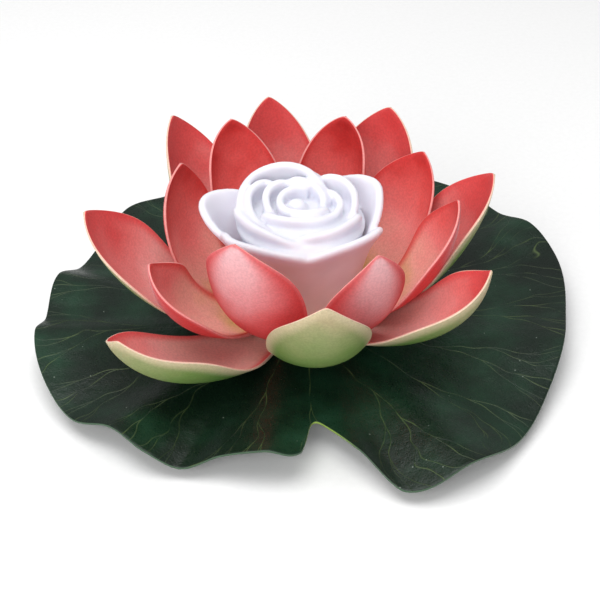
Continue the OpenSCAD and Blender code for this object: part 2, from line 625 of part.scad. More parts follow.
module led_leads() color("silver") for (s = [-1, 1])
    translate([led_x, s * led_pitch / 2, board_z - 1]) cylinder(r = 0.25, h = led_z - board_z + 1, $fn = 24);

// Slide switch hung under the board; its knob stands in the window of the base plate
module switch_body() color("silver") difference() {
    translate([switch_x - switch_w / 2, -switch_l / 2, board_z - switch_h])
        cube([switch_w, switch_l, switch_h]);
    translate([switch_x - knob_w / 2 - 0.2, -(knob_l + switch_travel) / 2 - 0.2,
               board_z - switch_h - eps])
        cube([knob_w + 0.4, knob_l + switch_travel + 0.4, 1.5]);
}

module switch_slider() color("black")
    translate([switch_x - knob_w / 2, -(knob_l + switch_travel) / 2, plate_z + 0.4])
        cube([knob_w, knob_l, board_z - switch_h + 1.2 - plate_z - 0.4]);

float_disc();
lily_pad();
outer_petals();
inner_petals();
lamp_socket();
socket_ring();
rose_shade();
shade_seal();
lamp_housing();
base_plate();
base_screws();
battery_door();
door_gasket();
button_cells();
contact_plus();
contact_minus();
circuit_board();
controller_chip();
resistor();
led();
led_leads();
switch_body();
switch_slider();
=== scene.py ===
"""Looks of the floating lotus light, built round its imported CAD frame.

The petals, the lily pad and the rose are surfaces worked out with numpy from the same
dimensions as the CAD part. Lengths are in millimetres until a mesh is made.
"""

import math

import bpy
import numpy as np
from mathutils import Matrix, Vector


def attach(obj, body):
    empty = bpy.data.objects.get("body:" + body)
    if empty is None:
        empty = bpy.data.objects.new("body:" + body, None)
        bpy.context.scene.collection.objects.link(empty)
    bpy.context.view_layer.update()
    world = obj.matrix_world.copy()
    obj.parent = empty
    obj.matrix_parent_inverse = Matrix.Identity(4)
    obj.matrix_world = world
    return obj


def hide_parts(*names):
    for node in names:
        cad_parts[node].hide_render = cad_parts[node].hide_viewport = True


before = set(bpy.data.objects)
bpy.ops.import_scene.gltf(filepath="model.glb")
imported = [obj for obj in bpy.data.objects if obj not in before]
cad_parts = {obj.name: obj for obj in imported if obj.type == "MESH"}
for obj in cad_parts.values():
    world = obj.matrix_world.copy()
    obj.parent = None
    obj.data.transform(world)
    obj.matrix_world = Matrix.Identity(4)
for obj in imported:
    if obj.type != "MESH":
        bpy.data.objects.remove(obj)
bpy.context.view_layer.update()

MM = 0.001

# Heights of the stack, as in the CAD part
FLOAT_H = 14.0
LEAF_T = 1.2
PETAL_T = 2.2
OUTER_Z = FLOAT_H + LEAF_T + PETAL_T / 2
INNER_Z = OUTER_Z + PETAL_T
BORE_R = 20.8
SHADE_Z = 24.0


# ---------------------------------------------------------------- meshes


def smooth(t):
    """Rises from 0 to 1 with flat ends: t squared times (3 - 2t), t held to 0..1."""
    c = np.clip(t, 0.0, 1.0)
    return c * c * (3 - 2 * c)


def curve_through(at, stations, column, around=None):
    """Smooth curve through stations: cubic between two stations, with the slope at each one
    set by its two neighbours. With around given, the stations repeat after that distance."""
    x = np.array([s[0] for s in stations], float)
    y = np.array([s[column] for s in stations], float)
    if around:
        x_out = np.concatenate([[x[-2] - around], x, [x[1] + around]])
        y_out = np.concatenate([[y[-2]], y, [y[1]]])
        slope = (y_out[2:] - y_out[:-2]) / (x_out[2:] - x_out[:-2])
    else:
        slope = np.gradient(y, x)
    i = np.clip(np.searchsorted(x, at, side="right") - 1, 0, len(x) - 2)
    w = x[i + 1] - x[i]
    t = (at - x[i]) / w
    return (
        y[i] * (1 + 2 * t) * (1 - t) ** 2
        + w * slope[i] * t * (1 - t) ** 2
        + y[i + 1] * t * t * (3 - 2 * t)
        + w * slope[i + 1] * t * t * (t - 1)
    )


def lattice(rows, cols, wrap_rows=False, wrap_cols=False, start=0):
    """Quads of a rows by cols grid of points, whose first index is start. A wrapped
    direction joins its last line of points to its first."""
    i = np.arange(rows if wrap_rows else rows - 1)
    j = np.arange(cols if wrap_cols else cols - 1)
    i, j = np.meshgrid(i, j, indexing="ij")
    down, right = (i + 1) % rows, (j + 1) % cols
    quads = [i * cols + j, i * cols + right, down * cols + right, down * cols + j]
    return start + np.stack(quads, -1).reshape(-1, 4)


def new_piece(name, points, faces, values=None):
    """A mesh object from points in millimetres, faces as lists of indices, and point
    attributes given as a dictionary of arrays."""
    mesh = bpy.data.meshes.new(name)
    mesh.from_pydata((np.asarray(points) * MM).tolist(), [], [list(map(int, f)) for f in faces])
    for key, data in (values or {}).items():
        layer = mesh.attributes.new(key, "FLOAT", "POINT")
        layer.data.foreach_set("value", np.asarray(data, np.float32).ravel())
    mesh.polygons.foreach_set("use_smooth", np.ones(len(mesh.polygons), bool))
    mesh.update()
    piece = bpy.data.objects.new(name, mesh)
    bpy.context.scene.collection.objects.link(piece)
    return piece


def settle(piece):
    """Applies the live modifiers of a piece to its mesh."""
    shown = piece.evaluated_get(bpy.context.evaluated_depsgraph_get())
    mesh = bpy.data.meshes.new_from_object(shown)
    mesh.name = piece.name
    piece.modifiers.clear()
    piece.data = mesh
    mesh.polygons.foreach_set("use_smooth", np.ones(len(mesh.polygons), bool))
    mesh.update()


# ---------------------------------------------------------------- petals

# One entry for each petal, anticlockwise from the front, in the CAD part's terms, but for two:
# point sets how pointed a petal is, where the CAD part has 2.5 throughout, and pale is how much
# further out, in shares of its length, a petal's red spray begins
OUTER = dict(
    az=277, hub=28.0, z=OUTER_Z, length=114,
    turn=[-1, 2, -1, 6, 3, -8, 1, -1],
    rise=[10, 16, 8, 4, 4, 4, 7, 0],
    tip=[84, 87, 79, 94, 88, 86, 75, 75],
    late=[1.2, 2, 0.8, 0.9, 1.1, 0.9, 1, 1.7],
    roll=[-4, 20, 0, -5, 10, 22, -15, 7],
    cup=[25, 21, 32, 29, 21, 31, 34, 27],
    size=[1.03, 0.99, 0.96, 0.98, 1.01, 1, 0.98, 1.1],
    flare=[0.51, 0.43, 0.53, 0.5, 0.43, 0.46, 0.5, 0.47],
    point=[2.0, 2.5, 2.5, 2.5, 2.5, 2.5, 2.5, 2.5],
    pale=[0, 0, 0, 0, 0, 0, 0.05, 0.1],
)
INNER = dict(
    az=254, hub=26.0, z=INNER_Z, length=96,
    turn=[-7, 1, 4, 6, -4, 3, -1, 6],
    rise=[12, 14, 21, 14, 22, 17, 11, 13],
    tip=[91, 101, 95, 82, 104, 99, 116, 90],
    late=[0.7, 1, 1.2, 0.8, 1.1, 0.85, 1, 1.5],
    roll=[1, -1, 16, 2, -12, -4, -9, -34],
    cup=[25, 29, 25, 33, 18, 20, 35, 20],
    size=[1.09, 0.98, 1.02, 0.94, 1.01, 1.02, 1.01, 0.97],
    flare=[0.5, 0.46, 0.49, 0.54, 0.52, 0.47, 0.48, 0.51],
    point=[2.5, 2.5, 2.5, 2.5, 2.5, 2.5, 2.5, 2.5],
    pale=[0, 0, 0.14, 0, -0.02, -0.05, 0, 0.16],
)
HUB_FLARE = 0.36
TIP_ROUNDING = 0.05
# Share of its length over which a petal rises out of the hub ring
HUB_BLEND = 0.15
EDGE_ROUND = 0.5
BEND_STEPS = 240
BODY_ROWS = 88
TIP_ROWS = 22
TIP_BEGINS = 0.9
TIP_END = 0.9995
FACE_POINTS = 34
EDGE_POINTS = 7
HUB_STEPS = 256


def petal_half(whorl, k, s):
    """Half-width of petal k at s: a straight taper times the root of d(d + 0.05 s^4), where d
    is 1 - s^point. That is near d itself but for the tip, which it rounds."""
    length = whorl["length"] * whorl["size"][k]
    flare = HUB_FLARE + (whorl["flare"][k] - HUB_FLARE) * s
    d = np.clip(1 - s ** whorl["point"][k], 0, 1)
    return flare * (whorl["hub"] + s * length) * np.sqrt(d * (d + TIP_ROUNDING * s**4))


def petal_sheet(whorl, k, s, v, off):
    """Point on petal k of a whorl, s from hub (0) to tip (1), v across from -1 to 1, off
    above the middle of the sheet. The middle line leaves the hub circle at the rise angle
    and bends, as s to the power late, to the tip angle. Across, the sheet is an arc of the cup
    radius, flatter near the hub, as wide as petal_half says. It is rolled about its own line
    in step with s, swung sideways by turn, and its first 15% blends into the flat hub ring."""
    rise, tip, late = whorl["rise"][k], whorl["tip"][k], whorl["late"][k]
    length = whorl["length"] * whorl["size"][k]
    fine = np.linspace(0, 1, BEND_STEPS + 1)
    mid = (fine[1:] + fine[:-1]) / 2
    bend = np.radians(rise + (tip - rise) * mid**late)
    line_r = whorl["hub"] + length * np.concatenate([[0], np.cumsum(np.cos(bend))]) / BEND_STEPS
    line_z = whorl["z"] + length * np.concatenate([[0], np.cumsum(np.sin(bend))]) / BEND_STEPS
    r, z = np.interp(s, fine, line_r), np.interp(s, fine, line_z)
    phi = np.radians(rise + (tip - rise) * s**late)
    half = petal_half(whorl, k, s)
    across = whorl["cup"][k] * (1 + (1 - s) ** 2)
    a = v * half / across
    side = (across - off) * np.sin(a)
    up = across - (across - off) * np.cos(a)
    twist = np.radians(whorl["roll"][k]) * s
    side, up = side * np.cos(twist) - up * np.sin(twist), side * np.sin(twist) + up * np.cos(twist)
    rr, zz = r - up * np.sin(phi), z + up * np.cos(phi)
    az = np.radians(whorl["az"] + 45 * k + whorl["turn"][k] * s * (2 - s))
    free = np.stack([rr * np.cos(az) - side * np.sin(az), rr * np.sin(az) + side * np.cos(az), zz], -1)
    hub_az = np.radians(whorl["az"] + 45 * (k + v / 2))
    hub = np.stack([whorl["hub"] * np.cos(hub_az), whorl["hub"] * np.sin(hub_az),
                    whorl["z"] + off + 0 * hub_az], -1)
    blend = smooth(s / HUB_BLEND)[..., None]
    return hub * (1 - blend) + free * blend


def petal_loop():
    """The closed outline of a petal's cut section: along the inner face, round a soft edge and
    back along the outer face. Gives each point's place across from -1 to 1, the share of the
    soft edge by which it stands out, and its side: 1 on the inner face, 0 at the middle of the
    cut edge and -1 on the outer face."""
    face = np.linspace(-1, 1, FACE_POINTS)
    turn = np.linspace(0, math.pi, EDGE_POINTS + 2)[1:-1]
    bulge = np.sin(turn) ** 0.6
    v = np.concatenate([face, 1 + 0 * turn, -face, -1 + 0 * turn])
    grow = np.concatenate([0 * face, bulge, 0 * face, -bulge])
    off = np.concatenate([1 + 0 * face, np.cos(turn), -1 + 0 * face, -np.cos(turn)])
    return v, grow, off


def whorl_piece(name, whorl):
    """Eight petals and their flat hub ring as one sheet of foam. Each petal is its cut
    section carried from hub to tip. The soft edge takes up half a millimetre of the width, and
    forming has pressed the sheet to 60% of its thickness at the margins and 70% at the tip."""
    v, grow, off = petal_loop()
    body = np.linspace(0, TIP_BEGINS, BODY_ROWS, endpoint=False)
    # Rows crowd towards the tip, as the distance from it to the power 0.6
    tip = 1 - np.linspace(0.1**0.6, 0.0, TIP_ROWS) ** (1 / 0.6)
    s = np.concatenate([body, tip])
    s[-1] = TIP_END
    h = PETAL_T / 2
    points, faces = [], []
    keys = {"along": [], "across": [], "side": [], "margin": []}
    for k in range(8):
        S, V = np.meshgrid(s, v, indexing="ij")
        length = whorl["length"] * whorl["size"][k]
        half = petal_half(whorl, k, S)
        soft = np.minimum(EDGE_ROUND / np.maximum(half, 0.3), 0.9) * smooth(S / HUB_BLEND)
        across = V * (1 - soft) + grow[None, :] * soft
        start = sum(len(p) for p in points)
        thin = (1 - 0.4 * smooth((np.abs(V) - 0.55) / 0.45)) * (1 - 0.3 * smooth((S - 0.8) / 0.2))
        thin = 1 - (1 - thin) * smooth((S - 0.1) / 0.2)
        grid = petal_sheet(whorl, k, S, across, off * h * thin)
        rows, cols = S.shape
        points.append(grid.reshape(-1, 3))
        faces += lattice(rows, cols, wrap_cols=True, start=start).tolist()
        faces.append((start + np.arange(cols))[::-1].tolist())
        faces.append((start + (rows - 1) * cols + np.arange(cols)).tolist())
        keys["along"].append((S - whorl["pale"][k] * smooth((S - 0.15) / 0.4)).ravel())
        keys["across"].append(np.abs(across).ravel())
        keys["side"].append(np.broadcast_to(off, S.shape).ravel())
        from_side = half * (1 - np.abs(across))
        from_tip = (1 - S) * length
        keys["margin"].append(np.minimum(from_side, from_tip).ravel())
    around = np.radians(np.linspace(0, 360, HUB_STEPS, endpoint=False))
    rim = whorl["hub"] + 0.3
    ring = np.array([[BORE_R, h], [BORE_R, -h], [rim, -h], [rim, h]])
    R, A = np.meshgrid(np.arange(4), around, indexing="ij")
    r, z = ring[R, 0], whorl["z"] + ring[R, 1]
    start = sum(len(p) for p in points)
    points.append(np.stack([r * np.cos(A), r * np.sin(A), z], -1).reshape(-1, 3))
    faces += lattice(4, HUB_STEPS, wrap_rows=True, wrap_cols=True, start=start).tolist()
    for key in keys:
        keys[key].append(np.zeros(R.size))
    # The hub ring is far from any margin, and its corners lie on the two faces
    keys["margin"][-1] += 30.0
    keys["side"][-1] = np.repeat([1.0, -1.0, -1.0, 1.0], HUB_STEPS)
    values = {key: np.concatenate(parts) for key, parts in keys.items()}
    return new_piece(name, np.concatenate(points), faces, values)


# ---------------------------------------------------------------- lily pad

LEAF_MEAN_R = 140.0
LEAF_FLAT_R = 58.0
VEINS = 17
TOP_ROWS = 75
UNDER_ROWS = 25
LEAF_STEPS = 900
# Margin: (azimuth, radius over the mean radius, height over the hub); the notch is at 272
LEAF_MARGIN = [
    (0, 1.00, 1), (20, 1.07, 4), (30, 1.07, 9), (38, 1.04, 6), (48, 1.06, 7),
    (60, 1.02, 10), (78, 1.03, 5), (96, 1.00, 9), (112, 1.02, 4), (126, 0.94, 8),
    (136, 0.99, 6), (148, 0.95, -1), (159, 0.935, -3), (168, 0.96, 5),
    (183, 0.955, 1), (190, 0.99, 5), (206, 1.0, -1), (217, 0.99, -5),
    (227, 0.95, 2), (237, 0.955, -1), (244, 0.92, -8), (252, 0.875, 0),
    (262, 0.865, 6), (270, 0.83, 2), (273, 0.67, 0), (277, 0.68, 0),
    (284, 0.83, 0), (290, 1.01, -7), (303, 1.045, 2), (317, 1.02, -7),
    (333, 0.985, -3), (347, 0.985, 3), (360, 1.00, 1),
]


def leaf_sheet(az, share, side):
    """Point on the pad: az in degrees, share from the bore (0) to the margin (1), side 1 on
    top and 0 below. Flat over the float, then the height grows as the distance to the power
    1.5 towards the margin's own wave."""
    edge = LEAF_MEAN_R * curve_through(az, LEAF_MARGIN, 1, around=360)
    wave = curve_through(az, LEAF_MARGIN, 2, around=360)
    r = BORE_R + (edge - BORE_R) * share
    t = np.clip((r - LEAF_FLAT_R) / (edge - LEAF_FLAT_R), 0, 1)
    z = FLOAT_H + side * LEAF_T + wave * t**1.5
    a = np.radians(az)
    return np.stack([r * np.cos(a), r * np.sin(a), z], -1), r, edge


def leaf_piece():
    """The pad as a closed sheet: rows run out over the top, round the cut edge and back
    under, and the columns go all the way round."""
    top = np.linspace(0, 1, TOP_ROWS) ** 0.9
    under = np.linspace(1, 0, UNDER_ROWS) ** 0.9
    turn = np.linspace(0, math.pi, 7)[1:-1]
    share = np.concatenate([top, 1 + 0.0012 * np.sin(turn), under])
    side = np.concatenate([1 + 0 * top, 0.5 + 0.5 * np.cos(turn), 0 * under])
    az = np.linspace(0, 360, LEAF_STEPS, endpoint=False)
    SH, AZ = np.meshgrid(share, az, indexing="ij")
    SD = np.broadcast_to(side[:, None], SH.shape)
    points, r, edge = leaf_sheet(AZ, SH, SD)
    faces = lattice(len(share), len(az), wrap_rows=True, wrap_cols=True)
    values = {"reach": (r / edge).ravel(), "side": SD.ravel(), "radius": r.ravel(),
              "turn": (AZ / 360 * VEINS).ravel()}
    return new_piece("pad", points.reshape(-1, 3), faces[:, ::-1], values)


# ---------------------------------------------------------------- rose

ROSE_H = 70.0
ROSE_RIM_RISE = 2.0
ROSE_WALL = 2.4
NECK_R = 20.6
SHADE_GAP = 0.3
BUD_R = 5.6
ROSE_GRID = 60
ROSE_CELL = 0.8
# Rim of each rose petal: (azimuth, distance from the axis, drop under a plane that lies
# ROSE_RIM_RISE below the rose's top). Then where the petal starts: (share of the rim's distance,
# height over the foot), and how far its side stands out: (share of the rim's distance, share of
# the way up)
ROSE_PETALS = {
    "wing": ([(146, 31, 16), (158, 39, 12.5), (170, 47, 11), (180, 49.5, 12), (190, 47, 16),
        (203, 41, 22)],
        (0.51, 3.5), (0.7, 0.6)),
    "front_left": ([(193, 39, 24), (205, 41.5, 19), (215, 41.5, 18.5), (232, 37.5, 19), (250, 35, 20),
        (268, 34, 21.5), (282, 33, 25)],
        (0.66, 3.5), (0.78, 0.64)),
    "front_right": ([(270, 32, 25.5), (279, 34, 22.2), (296, 34.5, 20), (312, 36, 19), (328, 39, 18.4),
        (342, 41, 19), (353, 40, 23)],
        (0.68, 2.5), (0.78, 0.7)),
    "right_back": ([(346, 35, 26), (358, 38.5, 19), (371, 41, 12), (382, 41.5, 8.5), (394, 37.5, 8),
        (408, 31, 10), (424, 26, 13)],
        (0.6, 3), (0.78, 0.64)),
    "back": ([(58, 27, 14), (80, 29, 10), (105, 30, 9), (130, 31, 10), (150, 32, 13)],
        (0.8, 3.5), (0.94, 0.61)),
    "right_inner": ([(342, 25, 18), (358, 27, 13), (374, 27.5, 8), (390, 25, 4.7), (406, 21, 4.2),
        (422, 17.5, 6)],
        (0.79, 41), (1, 0.62)),
    "hood": ([(0, 13.5, 12), (20, 14, 10), (45, 15, 6.5), (66, 16, 3), (88, 17.5, 0.5),
        (108, 19.5, -0.6), (128, 23, 0), (148, 27.5, 2.7), (165, 30, 6.7), (180, 30.5, 11),
        (190, 29.5, 13.5), (202, 27, 17)],
        (0.86, 39.5), (1.06, 0.62)),
    "second_left": ([(174, 30.5, 17), (186, 32, 12.7), (200, 31, 12.7), (220, 29.5, 13.5),
        (237, 28.5, 14.5), (255, 28.3, 16.5), (270, 28, 19), (280, 27, 22)],
        (0.85, 35), (1.01, 0.6)),
    "second_right": ([(262, 24.5, 17.5), (280, 26, 15), (297, 27, 14), (314, 28, 13.4), (330, 29, 13),
        (343, 30, 13.2), (354, 29, 17.5)],
        (0.88, 39), (1.02, 0.58)),
    "third": ([(200, 20.5, 13), (215, 20, 11.2), (235, 18, 11), (262, 16.8, 11), (290, 17, 11.5),
        (318, 18.3, 12.2), (340, 19.5, 11.7), (360, 19.8, 10.4), (380, 17.5, 8.6),
        (398, 14.5, 8.5)],
        (0.85, 42.5), (1.01, 0.6)),
    "left_inner": ([(138, 19, 5.5), (156, 23, 4.7), (172, 26, 7), (188, 26.3, 9.8), (205, 25.8, 12.4),
        (222, 25.2, 14.8), (238, 24.3, 18)],
        (0.86, 39.5), (1.04, 0.58)),
    "left_core": ([(112, 13, 6), (140, 15.5, 5), (165, 17.3, 6.4), (188, 17.3, 9.2), (208, 17, 11.4),
        (226, 16.5, 14)],
        (0.84, 42.5), (1.05, 0.59)),
    "right_core": ([(345, 10.8, 12.5), (370, 11.8, 9.4), (400, 11.6, 7), (430, 11.4, 5), (460, 12, 4),
        (485, 13, 5.5)],
        (0.85, 42.5), (1.06, 0.61)),
    "bud_ring": ([(60, 7.6, 7.4), (100, 8, 6.6), (140, 8.8, 7), (180, 10.2, 8), (215, 11.4, 9),
        (245, 11.6, 9.4), (275, 11.8, 9.5), (305, 12.6, 9.8), (330, 13.4, 10.6),
        (350, 13.6, 12.5)],
        (0.8, 44), (1.04, 0.61)),
}


def rose_petal(rim, start, stand, across, around):
    """Point on a rose petal: across from 0 to 1 along its rim, around from 0 to 1 up its
    outer face, over the rounded rim and down its inner face. In each upright plane the
    petal's middle line is a curve of the second degree from its start, past the stand point,
    to the rim. The wall is laid off square to that line, thicker by 85% at the rim, and
    thins to its side edges as the root of a half circle."""
    knots = [(p, a, r, SHADE_Z + ROSE_H - ROSE_RIM_RISE - drop)
             for p, (a, r, drop) in zip(np.linspace(0, 1, len(rim)), rim)]
    az = curve_through(across, knots, 1)
    r1, z1 = curve_through(across, knots, 2), curve_through(across, knots, 3)
    r0, z0 = r1 * start[0], SHADE_Z + start[1]
    rm = r1 * stand[0]
    zm = z0 + (z1 - z0) * stand[1]
    half = ROSE_WALL / 2
    # 0..0.45 outer face, 0.45..0.55 rim, 0.55..1 inner face
    up = np.clip(np.minimum(around, 1 - around) / 0.45, 0, 1)
    lie = np.clip((around - 0.45) / 0.1, 0, 1) * math.pi
    r = r0 * (1 - up) ** 2 + 2 * rm * up * (1 - up) + r1 * up**2
    z = z0 * (1 - up) ** 2 + 2 * zm * up * (1 - up) + z1 * up**2
    dr = 2 * (1 - up) * (rm - r0) + 2 * up * (r1 - rm)
    dz = 2 * (1 - up) * (zm - z0) + 2 * up * (z1 - zm)
    size = np.hypot(dr, dz)
    tr, tz = dr / size, dz / size
    ends = np.sqrt(np.clip(1 - (2 * across - 1) ** 8, 0, 1)) * 0.92 + 0.08
    wall = half * ends * (0.95 + 0.85 * smooth((up - 0.6) / 0.4))
    r = r + tz * wall * np.cos(lie) + tr * wall * np.sin(lie)
    z = z - tr * wall * np.cos(lie) + tz * wall * np.sin(lie)
    a = np.radians(az)
    return np.stack([r * np.cos(a), r * np.sin(a), z], -1)


def lathe(profile, steps):
    """Points and quads of a closed profile of (distance, height) turned about the axis."""
    p = np.asarray(profile, float)
    around = np.linspace(0, 2 * math.pi, steps, endpoint=False)
    I, A = np.meshgrid(np.arange(len(p)), around, indexing="ij")
    points = np.stack([p[I, 0] * np.cos(A), p[I, 0] * np.sin(A), p[I, 1]], -1)
    return points.reshape(-1, 3), lattice(len(p), steps, wrap_rows=True, wrap_cols=True)


def rose_piece():
    """The moulded rose: its petals, the cup they stand on and the bud in one closed skin,
    fused on a fine grid and then eased, as a soft moulding's hollows and rims are. The cup is
    a turned wall, open below for the neck of the lamp, and the bud is a ball."""
    points, faces, start = [], [], 0
    step = np.linspace(0, 1, ROSE_GRID)
    across, around = np.meshgrid(step, step, indexing="ij")
    for rim, foot, stand in ROSE_PETALS.values():
        points.append(rose_petal(rim, foot, stand, across, around).reshape(-1, 3))
        quads = lattice(ROSE_GRID, ROSE_GRID, wrap_cols=True, start=start)
        faces += quads[:, ::-1].tolist()
        faces.append((start + np.arange(ROSE_GRID)).tolist())
        start += ROSE_GRID * ROSE_GRID
        faces.append((start - ROSE_GRID + np.arange(ROSE_GRID))[::-1].tolist())
    deep, wall = ROSE_H - ROSE_RIM_RISE - 18, ROSE_WALL
    bore, foot_r = NECK_R + SHADE_GAP, NECK_R + 3.8
    waist, brim = foot_r + 2.6, foot_r + 5.6
    outside = [(foot_r, 0.0), (foot_r + 1, 10), (waist, 0.45 * deep), (brim + 1, deep - 9),
               (brim + 3, deep - 3), (brim, deep), (brim - 8, deep + 3), (0.05, deep + 6)]
    inside = [(0.05, deep + 6 - wall), (brim - 9, deep + 3 - wall), (brim - wall, deep - 3),
              (waist - wall, 0.45 * deep), (bore, 7.0), (bore, 0.0)]
    cup, quads = lathe([(r, SHADE_Z + z) for r, z in outside + inside], 120)
    points.append(cup)
    faces += (quads + start).tolist()
    start += len(cup)
    tall = np.linspace(math.pi / 2, -math.pi / 2, 20)
    bud, quads = lathe([(max(BUD_R * math.cos(t), 0.02), BUD_R * math.sin(t)) for t in tall]
                       + [(0.01, 0.0)], 48)
    points.append(bud + [-2.0, -1.0, SHADE_Z + deep + 4.5])
    faces += (quads[:, ::-1] + start).tolist()
    piece = new_piece("rose", np.concatenate(points), faces)
    fuse = piece.modifiers.new("fuse", "REMESH")
    fuse.mode = "VOXEL"
    fuse.voxel_size = ROSE_CELL * MM
    ease = piece.modifiers.new("ease", "SMOOTH")
    ease.factor = 0.5
    ease.iterations = 11
    settle(piece)
    return piece


# ---------------------------------------------------------------- materials


def linear(colour):
    """An sRGB hex string as linear red, green, blue and 1."""
    out = []
    for i in (0, 2, 4):
        c = int(colour.lstrip("#")[i : i + 2], 16) / 255
        out.append(c / 12.92 if c <= 0.04045 else ((c + 0.055) / 1.055) ** 2.4)
    return (*out, 1.0)


def add(material, kind, settings=None, links=None, out=0):
    """Adds a node and gives one of its outputs. Settings are the node's own properties, and
    stops are a ramp's places and colours. Links go by a socket's name or place, and each
    holds a number, a hex colour or another node's output."""
    node = material.node_tree.nodes.new(kind)
    for key, value in (settings or {}).items():
        if key == "stops":
            band = node.color_ramp.elements
            while len(band) < len(value):
                band.new(0.5)
            for element, (place, colour) in zip(band, value):
                element.position = place
                element.color = linear(colour)
        else:
            setattr(node, key, value)
    for key, value in (links or {}).items():
        if isinstance(value, bpy.types.NodeSocket):
            material.node_tree.links.new(value, node.inputs[key])
        else:
            node.inputs[key].default_value = linear(value) if isinstance(value, str) else value
    return node.outputs[out]


def start_finish(name):
    """A new material, and its Object coordinates."""
    material = bpy.data.materials.new(name)
    material.use_nodes = True
    return material, add(material, "ShaderNodeTexCoord", out="Object")


def coat(material, links):
    """Sets the main shader's sockets, each to a number, a colour or a node's output."""
    shader = material.node_tree.nodes["Principled BSDF"]
    for key, value in links.items():
        if isinstance(value, bpy.types.NodeSocket):
            material.node_tree.links.new(value, shader.inputs[key])
        else:
            shader.inputs[key].default_value = linear(value) if isinstance(value, str) else value
    return material


def per(size):
    """The scale at which a pattern repeats about every size millimetres."""
    return 1.0 / (size * MM)


SCATTER_RED = (1.0, 0.35, 0.25)


def petal_foam(name, inside, outside, inside_rim, outside_rim, rim_reach, cut_edge, blush=None):
    """EVA foam sheet, die-cut, sprayed on both faces and heat-formed. It is matt, with a fine
    closed-cell grain. The spray fades along the petal and gathers in a band at the margin, and
    the cut edge stays paler. On the outside the band runs in rim_reach millimetres. A blush is a
    second spray on the outside, clear of the middle of the tip."""
    m, where = start_finish(name)
    along, margin, side, across = (
        add(m, "ShaderNodeAttribute", {"attribute_name": key}, out="Fac")
        for key in ("along", "margin", "side", "across")
    )
    drift = add(m, "ShaderNodeTexNoise", {}, {"Vector": where, "Scale": per(26), "Detail": 3.0})
    wander = add(m, "ShaderNodeMapRange", {}, {0: drift, 1: 0.3, 2: 0.7, 3: -0.09, 4: 0.09})
    reach = add(m, "ShaderNodeMath", {"operation": "ADD"}, {0: along, 1: wander})
    colour_in = add(m, "ShaderNodeValToRGB", {"stops": inside}, {0: reach})
    colour_out = add(m, "ShaderNodeValToRGB", {"stops": outside}, {0: reach})
    if blush:
        middle = add(m, "ShaderNodeMapRange", {"interpolation_type": "SMOOTHSTEP"},
                     {0: across, 1: 0.3, 2: 1.0, 3: 1.0, 4: 0.0})
        far = add(m, "ShaderNodeMapRange", {"interpolation_type": "SMOOTHSTEP"},
                  {0: reach, 1: 0.25, 2: 0.6, 3: 0.0, 4: 1.0})
        clear = add(m, "ShaderNodeMath", {"operation": "MULTIPLY"}, {0: middle, 1: far})
        colour_out = add(m, "ShaderNodeMix", {"data_type": "RGBA"}, {0: clear, 6: blush, 7: colour_out}, 2)
    band_in = add(m, "ShaderNodeMapRange", {"interpolation_type": "SMOOTHSTEP"},
                  {0: margin, 1: 0.0, 2: 5.5, 3: 0.85, 4: 0.0})
    colour_in = add(m, "ShaderNodeMix", {"data_type": "RGBA"}, {0: band_in, 6: colour_in, 7: inside_rim}, 2)
    band_out = add(m, "ShaderNodeMapRange", {"interpolation_type": "SMOOTHSTEP"},
                   {0: margin, 1: 0.5, 2: rim_reach, 3: 0.85, 4: 0.0})
    colour_out = add(m, "ShaderNodeMix", {"data_type": "RGBA"},
                     {0: band_out, 6: colour_out, 7: outside_rim}, 2)
    face = add(m, "ShaderNodeMapRange", {}, {0: side, 1: -0.1, 2: 0.1})
    colour = add(m, "ShaderNodeMix", {"data_type": "RGBA"}, {0: face, 6: colour_out, 7: colour_in}, 2)
    middle_off = add(m, "ShaderNodeMath", {"operation": "ABSOLUTE"}, {0: side})
    cut = add(m, "ShaderNodeMapRange", {}, {0: middle_off, 1: 0.95, 2: 0.7, 3: 0.0, 4: 0.75})
    colour = add(m, "ShaderNodeMix", {"data_type": "RGBA"}, {0: cut, 6: colour, 7: cut_edge}, 2)
    speck = add(m, "ShaderNodeTexNoise", {}, {"Vector": where, "Scale": per(1.1), "Detail": 2.0})
    tint = add(m, "ShaderNodeValToRGB", {"stops": ((0.35, "#efefef"), (0.65, "#ffffff"))}, {0: speck})
    colour = add(m, "ShaderNodeMix", {"data_type": "RGBA", "blend_type": "MULTIPLY"},
                 {0: 1.0, 6: colour, 7: tint}, 2)
    # Cells are about 0.3 mm; they are drawn at 0.7 mm so that they show
    grain = add(m, "ShaderNodeTexNoise", {}, {"Vector": where, "Scale": per(0.7), "Detail": 3.0})
    bump = add(m, "ShaderNodeBump", {}, {"Strength": 0.3, "Distance": 0.15 * MM, "Height": grain})
    return coat(m, {"Base Color": colour, "Normal": bump, "Roughness": 0.6, "Specular IOR Level": 0.3,
                    "Subsurface Weight": 0.1, "Subsurface Radius": SCATTER_RED, "Subsurface Scale": 2 * MM})


def inner_petal_foam():
    """Deep red at the tips, salmon in the middle and yellow-green at the hub; outside, red
    with a pale pink middle towards the tip."""
    return petal_foam(
        "sprayed_eva_foam_inner",
        ((0.0, "#b3a948"), (0.14, "#cfa76c"), (0.3, "#e9a699"), (0.52, "#ec8582"), (0.74, "#e4605d"),
         (0.9, "#cc3836"), (1.0, "#b22423")),
        ((0.0, "#c63c3c"), (0.35, "#d04647"), (0.55, "#dd7a7c"), (0.75, "#e3a2a5"), (1.0, "#e6b5b9")),
        "#d63f3e", "#dd7274", 2.5, "#eea7a1", blush="#d44a4b",
    )


